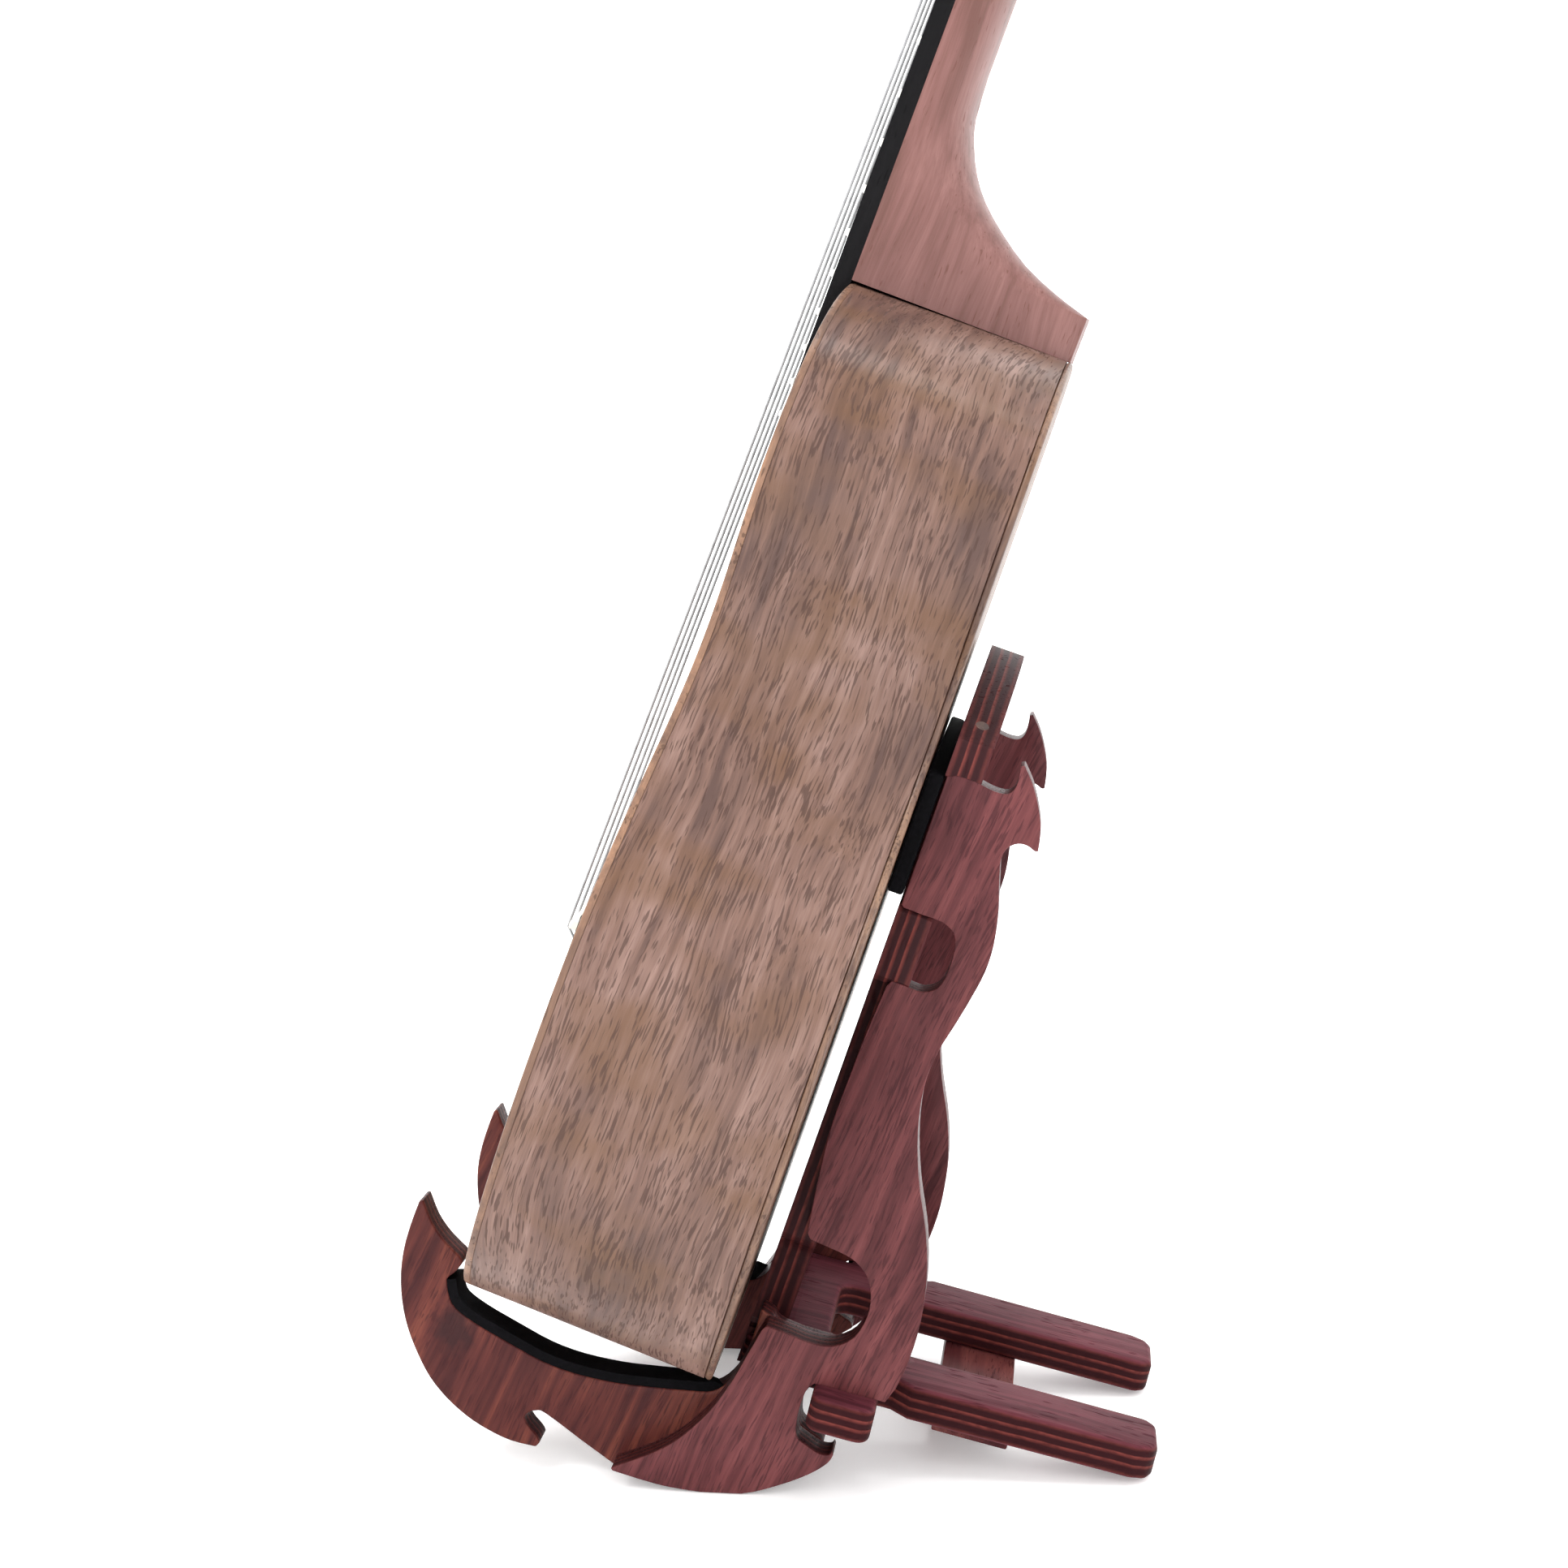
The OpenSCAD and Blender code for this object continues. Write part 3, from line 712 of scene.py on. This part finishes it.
# The same plywood, redder and darker, with one knot near the front
ARM_PLY = Ply(
    "stained plywood arm",
    light="#6C382C",
    middle="#502420",
    dark="#381515",
    pore="#301517",
    turn=PANEL_GRAIN,
    pore_share=0.52,
    pore_mm=(0.55, 7.0),
    gloss=0.12,
    coat=0.06,
    rough=0.46,
    knots=(Knot((52.0, -123.9, 39.5), (8.0, 5.5, 6.5), "#2A1214"),),
)
# The leaning plate is darker and drier, its grain along the back
BACK_PLY = Ply(
    "stained plywood back",
    light="#5C2E2E",
    middle="#472022",
    dark="#321416",
    pore="#281114",
    gloss=0.12,
    turn=BACK_LEAN,
    through=Thickness.Y,
    pore_share=0.36,
    coat=0.0,
    rough=0.55,
)
# The base plate is the driest of the plates, its grain down the slope
BASE_PLY = Ply(
    "stained plywood base",
    light="#6C373F",
    middle="#5A2B33",
    dark="#431D24",
    pore="#34191D",
    gloss=0.06,
    turn=BASE_GRAIN,
    through=Thickness.Y,
    pore_share=0.34,
    coat=0.0,
    rough=0.58,
)
# Solid bar with the same stain, its grain across the legs
CROSSBAR = Timber(
    "stained hardwood bar",
    light="#6E3C38",
    middle="#582A2A",
    dark="#40191C",
    pore="#2A1013",
    turn=0.0,
    roll=math.radians(90.0),
    pore_mm=(0.6, 9.0),
    gloss=0.12,
    coat=0.06,
)
# Closed-cell foam: black, matt, finely pitted
FOAM = Coating(
    "closed-cell foam", "#060607", "#0D0C0F", 0.7, (0.85, 0.98), relief=0.35, gloss=0.06
)
# Nickel plate, polished: bright and slightly warm
NICKEL = Coating("plated nickel", "#C9C7C2", "#D8D6D1", 2.5, (0.16, 0.28), relief=0.02, metal=1.0)
# Bone, sanded and polished: warm white
BONE = Coating("polished bone", "#E9E2D0", "#DCD3BD", 1.6, (0.3, 0.42), relief=0.05, coat=0.2)
# Pearl plastic: milky white with soft clouds under a clear surface
PEARL = Coating("pearl plastic", "#EFEBE2", "#D9D6D0", 4.0, (0.14, 0.24), relief=0.02, coat=0.6)
# Clear nylon, slightly milky
NYLON = Coating("clear nylon string", "#8E8E90", "#A6A6A8", 3.0, (0.25, 0.4), glass=0.15)


@dataclass
class Bench:
    """Takes CAD nodes as they are and returns finished copies that stand for them."""

    bodies: dict[str, str] = field(default_factory=dict)
    slots: dict[str, str] = field(default_factory=dict)
    nodes: dict[str, bpy.types.Object] = field(default_factory=dict)

    @classmethod
    def from_frame(cls, frame: dict[str, Any]) -> "Bench":
        """Read each node's body and material slot.


        Returns:
            The bench.
        """
        record = frame["record"]
        bodies = {n: b for b, ns in record["behaviour"]["bodies"].items() for n in ns}
        slots = {s["node"]: s["material_slot"] for s in record["subparts"]}
        return cls(bodies, slots, frame["nodes"])

    def pick(self, piece: bpy.types.Object) -> None:
        """Make one piece the only selected and active object.

        Args:
            piece: the piece.
        """
        bpy.ops.object.select_all(action="DESELECT")
        piece.select_set(True)
        bpy.context.view_layer.objects.active = piece

    def copy(self, node: str, flat: float | None = None) -> bpy.types.Object:
        """Copy a node, with its loose triangles merged into one skin.

        Args:
            node: the CAD node.
            flat: angle in degrees under which faces are joined into one, or None.

        Returns:
            The copy.
        """
        piece = self.nodes[node].copy()
        piece.data = self.nodes[node].data.copy()
        piece.name = piece.data.name = f"{node}.finished"
        piece.parent = None
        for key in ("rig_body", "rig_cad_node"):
            if key in piece:
                del piece[key]
        piece.matrix_world = Matrix.Identity(4)
        bpy.context.scene.collection.objects.link(piece)
        piece.data.materials.clear()
        self.pick(piece)
        bpy.ops.object.mode_set(mode="EDIT")
        bpy.ops.mesh.select_all(action="SELECT")
        bpy.ops.mesh.remove_doubles(threshold=0.01 * MM)
        if flat is not None:
            bpy.ops.mesh.dissolve_limited(angle_limit=math.radians(flat))
        bpy.ops.object.mode_set(mode="OBJECT")
        if piece.data.has_custom_normals:
            bpy.ops.mesh.customdata_custom_splitnormals_clear()
        return piece

    def round_over(
        self, piece: bpy.types.Object, width: float, steps: int, angle: float = 40.0
    ) -> None:
        """Round every edge that is sharper than an angle.

        Args:
            piece: the piece.
            width: the round-over in millimetres.
            steps: faces across it.
            angle: the sharpest edge that is left, in degrees.
        """
        bevel = piece.modifiers.new("round over", "BEVEL")
        bevel.width = width * MM
        bevel.segments = steps
        bevel.limit_method = "ANGLE"
        bevel.angle_limit = math.radians(angle)
        bevel.use_clamp_overlap = True
        bevel.harden_normals = False
        self.pick(piece)
        bpy.ops.object.modifier_apply(modifier=bevel.name)

    def smooth(self, piece: bpy.types.Object, angle: float) -> None:
        """Shade smooth under an angle.

        Args:
            piece: the piece.
            angle: the angle in degrees.
        """
        self.pick(piece)
        bpy.ops.object.shade_smooth_by_angle(angle=math.radians(angle))

    def place(self, piece: bpy.types.Object, node: str, finish: Finish) -> bpy.types.Object:
        """Give a piece its material and let it stand for a node.

        Args:
            piece: the finished mesh.
            node: the CAD node that it replaces.
            finish: the finish.

        Returns:
            The piece.
        """
        piece.data.materials.clear()
        piece.data.materials.append(finish.build(piece))
        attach(piece, self.bodies[node])
        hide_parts(node)
        LOG.info("%s: %d faces, %s", piece.name, len(piece.data.polygons), finish.name)
        return piece

    def finish(
        self,
        node: str,
        finish: Finish,
        width: float = 0.0,
        steps: int = 2,
        flat: float | None = 1.0,
        smooth: float = 35.0,
    ) -> bpy.types.Object:
        """Copy a node, round its edges, shade and dress it.

        Args:
            node: the CAD node.
            finish: the finish.
            width: the round-over in millimetres, or 0 for none.
            steps: faces across the round-over.
            flat: angle under which faces are joined, or None.
            smooth: shading angle in degrees.

        Returns:
            The piece.
        """
        piece = self.copy(node, flat)
        if width:
            self.round_over(piece, width, steps)
        self.smooth(piece, smooth)
        return self.place(piece, node, finish)


@dataclass
class Stand:
    """The knock-down stand: six plywood plates, a crossbar, a plug and three foam pads."""

    bench: Bench
    round_mm: float = 1.7
    round_steps: int = 4
    pad_round_mm: float = 0.9
    bar_round_mm: float = 0.5

    def build(self) -> None:
        """Finish every piece of the stand."""
        plates = {
            "side_panel_right": PANEL_PLY,
            "side_panel_left": PANEL_PLY,
            "cradle_arm_right": ARM_PLY,
            "cradle_arm_left": ARM_PLY,
            "back_panel": BACK_PLY,
            "base_plate": BASE_PLY,
        }
        for node, finish in plates.items():
            self.bench.finish(node, finish, self.round_mm, self.round_steps, smooth=50.0)
        self.bench.finish("crossbar", CROSSBAR, self.bar_round_mm, 2)
        self.bench.finish("edge_plug", VENEER)
        for node in ("cradle_pad_right", "cradle_pad_left", "back_pad"):
            self.pad(node)

    def pad(self, node: str) -> None:
        """Make a soft strip with rounded edges.

        Args:
            node: the CAD node of the strip.
        """
        piece = self.bench.copy(node, 1.0)
        self.bench.round_over(piece, self.pad_round_mm, self.round_steps, 35.0)
        self.bench.smooth(piece, 60.0)
        self.bench.place(piece, node, FOAM)


@dataclass
class SoundBox:
    """The hollow box: rim, soundboard, back, their linings, blocks and braces."""

    bench: Bench
    edge_mm: float = 1.0
    middle_z: float = 0.16

    def build(self) -> None:
        """Finish every piece of the sound box."""
        rim = self.bench.copy("side_ribs", None)
        self.unroll(rim)
        self.bench.smooth(rim, 35.0)
        self.bench.place(rim, "side_ribs", RIM)
        self.bench.finish("soundboard", TOP, 0.5, 2)
        self.bench.finish("back_plate", BACK, self.edge_mm, 3)
        self.bench.finish("rosette", EBONY)
        for node in (
            "neck_block",
            "tail_block",
            "front_lining",
            "back_lining",
            "front_braces",
            "back_braces",
            "bridge_patch",
        ):
            self.bench.finish(node, INNER)

    def unroll(self, rim: bpy.types.Object) -> None:
        """Give the rim a map that runs along its bent outline, in metres.

        Args:
            rim: the rim's copy.
        """
        upright = Matrix.Rotation(LEAN, 3, "X")
        local = [upright @ (v.co - TAIL) for v in rim.data.vertices]
        angles = [math.atan2(p.x, self.middle_z - p.z) for p in local]
        reach: dict[int, float] = {}
        for angle, p in zip(angles, local):
            key = round(math.degrees(angle))
            reach[key] = max(reach.get(key, 0.0), math.hypot(p.x, p.z - self.middle_z))
        keys = sorted(reach)
        run = {keys[0]: 0.0}
        for a, b in zip(keys, keys[1:]):
            here = Vector((reach[a] * math.sin(math.radians(a)), reach[a] * math.cos(math.radians(a))))
            there = Vector((reach[b] * math.sin(math.radians(b)), reach[b] * math.cos(math.radians(b))))
            run[b] = run[a] + (there - here).length

        def along(angle: float) -> float:
            """Length along the outline at an angle round the box."""
            degrees = math.degrees(angle)
            low = max([k for k in keys if k <= degrees], default=keys[0])
            high = min([k for k in keys if k > degrees], default=keys[-1])
            if high == low:
                return run[low]
            return run[low] + (run[high] - run[low]) * (degrees - low) / (high - low)

        lengths = [along(a) for a in angles]
        layer = rim.data.uv_layers.new(name="grain") if not rim.data.uv_layers else rim.data.uv_layers[0]
        for loop in rim.data.loops:
            p = local[loop.vertex_index]
            layer.data[loop.index].uv = (p.y, lengths[loop.vertex_index])


@dataclass
class Neck:
    """Neck, fingerboard, frets, nut and head veneer."""

    bench: Bench

    def build(self) -> None:
        """Finish every piece of the neck."""
        self.bench.finish("neck", NECK, flat=None, smooth=38.0)
        self.bench.finish("fingerboard", EBONY, 0.35, 2)
        self.bench.finish("frets", NICKEL, 0.12, 2, flat=None, smooth=50.0)
        self.bench.finish("face_dots", PEARL)
        self.bench.finish("edge_dots", PEARL)
        self.bench.finish("nut", BONE, 0.5, 3)
        self.bench.finish("head_veneer", VENEER, 0.3, 2)


@dataclass
class Bridge:
    """Bridge, saddle and the four strings."""

    bench: Bench

    def build(self) -> None:
        """Finish the bridge and the strings."""
        self.bench.finish("bridge", EBONY, 0.7, 3)
        self.bench.finish("saddle", BONE, 0.6, 3)
        for number in range(1, 5):
            self.bench.finish(f"string_{number}", NYLON, flat=None, smooth=60.0)


@dataclass
class Tuners:
    """Four tuners in closed housings, with their posts and buttons."""

    bench: Bench

    def build(self) -> None:
        """Finish the tuners."""
        self.bench.finish("tuner_housings", NICKEL, 0.8, 3)
        self.bench.finish("tuner_bushings", NICKEL, 0.3, 2)
        self.bench.finish("tuner_screws", NICKEL, 0.1, 2)
        for number in range(1, 5):
            self.bench.finish(f"post_{number}", NICKEL, 0.3, 2)
            self.bench.finish(f"button_{number}", PEARL, 0.8, 3)


@dataclass
class Studio:
    """A pale floor that curves up into a backdrop, soft lights and the camera."""

    eye: tuple[float, float, float] = (0.7508, 0.0435, 0.2916)
    yaw: float = math.radians(6.266)
    pitch: float = math.radians(8.069)
    lens_mm: float = 62.07
    sheet_m: float = 16.0
    sheet_squares: int = 60
    sheet_drop: float = 0.2 * MM
    flat_m: float = 2.2
    sweep: float = 0.35
    room_light: float = 0.28
    glow_reach: tuple[float, float] = (0.2, 1.0)
    glow: tuple[float, float] = (0.22, 0.62)

    def build(self) -> None:
        """Make the floor, the lights and the camera."""
        self.floor()
        self.light("key", (0.8, -1.3, 2.3), 0.8, 33.0)
        self.light("fill", (1.6, 1.5, 0.9), 1.4, 2.0)
        self.light("top", (0.1, 0.3, 2.4), 0.9, 22.0)
        self.light("behind", (-1.8, -0.6, 1.4), 1.6, 9.0)
        world = bpy.data.worlds.new("soft white room")
        world.use_nodes = True
        back = world.node_tree.nodes["Background"]
        back.inputs["Color"].default_value = (1.0, 1.0, 1.0, 1.0)
        back.inputs["Strength"].default_value = self.room_light
        bpy.context.scene.world = world
        bpy.context.scene.view_settings.view_transform = "Standard"
        self.camera()

    def floor(self) -> None:
        """Lay a wide sheet that is swept up at its edges and glows more away from the object."""
        bpy.ops.object.select_all(action="DESELECT")
        squares = self.sheet_squares
        bpy.ops.mesh.primitive_grid_add(
            x_subdivisions=squares, y_subdivisions=squares, size=self.sheet_m
        )
        sheet = bpy.context.active_object
        sheet.name = "floor"
        for vertex in sheet.data.vertices:
            out = max(0.0, math.hypot(vertex.co.x, vertex.co.y) - self.flat_m)
            vertex.co.z = self.sweep * out * out - self.sheet_drop
        bpy.ops.object.shade_smooth()
        material = bpy.data.materials.new("matte white paper")
        material.use_nodes = True
        shader = material.node_tree.nodes["Principled BSDF"]
        shader.inputs["Base Color"].default_value = linear("#FAFAFA")
        shader.inputs["Roughness"].default_value = 0.9
        shader.inputs["Specular IOR Level"].default_value = 0.1
        shader.inputs["Emission Color"].default_value = (1.0, 1.0, 1.0, 1.0)
        place = add_node(material.node_tree, "ShaderNodeTexCoord").outputs["Object"]
        reach = add_node(
            material.node_tree,
            "ShaderNodeVectorMath",
            props={"operation": "LENGTH"},
            links={0: place},
        ).outputs["Value"]
        glow = add_node(
            material.node_tree,
            "ShaderNodeMapRange",
            values={1: self.glow_reach[0], 2: self.glow_reach[1], 3: self.glow[0], 4: self.glow[1]},
            links={0: reach},
        ).outputs[0]
        material.node_tree.links.new(glow, shader.inputs["Emission Strength"])
        sheet.data.materials.append(material)

    def light(
        self, name: str, place: tuple[float, float, float], size: float, power: float
    ) -> None:
        """Add one large soft light that faces the object.

        Args:
            name: its name.
            place: where it stands.
            size: its width in metres.
            power: its power in watts.
        """
        data = bpy.data.lights.new(name, "AREA")
        data.shape = "DISK"
        data.size = size
        data.energy = power
        lamp = bpy.data.objects.new(name, data)
        lamp.location = place
        aim = Vector((0.0, 0.0, 0.2)) - Vector(place)
        lamp.rotation_euler = aim.to_track_quat("-Z", "Y").to_euler()
        bpy.context.scene.collection.objects.link(lamp)

    def camera(self) -> None:
        """Place the camera at the side of the object."""
        data = bpy.data.cameras.new("side camera")
        data.sensor_width = 36.0
        data.lens = self.lens_mm
        data.clip_start = 0.01
        data.clip_end = 60.0
        data.dof.use_dof = False
        camera = bpy.data.objects.new("side camera", data)
        camera.location = self.eye
        look = Vector(
            (
                -math.cos(self.pitch) * math.cos(self.yaw),
                -math.cos(self.pitch) * math.sin(self.yaw),
                -math.sin(self.pitch),
            )
        )
        camera.rotation_euler = look.to_track_quat("-Z", "Y").to_euler()
        bpy.context.scene.collection.objects.link(camera)
        bpy.context.scene.camera = camera


def main() -> None:
    """Load the frame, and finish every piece."""
    logging.basicConfig(level=logging.INFO, format="%(name)s: %(message)s")
    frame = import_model()
    bench = Bench.from_frame(frame)
    Studio().build()
    for group in (Stand(bench), SoundBox(bench), Neck(bench), Bridge(bench), Tuners(bench)):
        LOG.info("building %s", type(group).__name__)
        group.build()


if __name__ == "__main__":
    main()
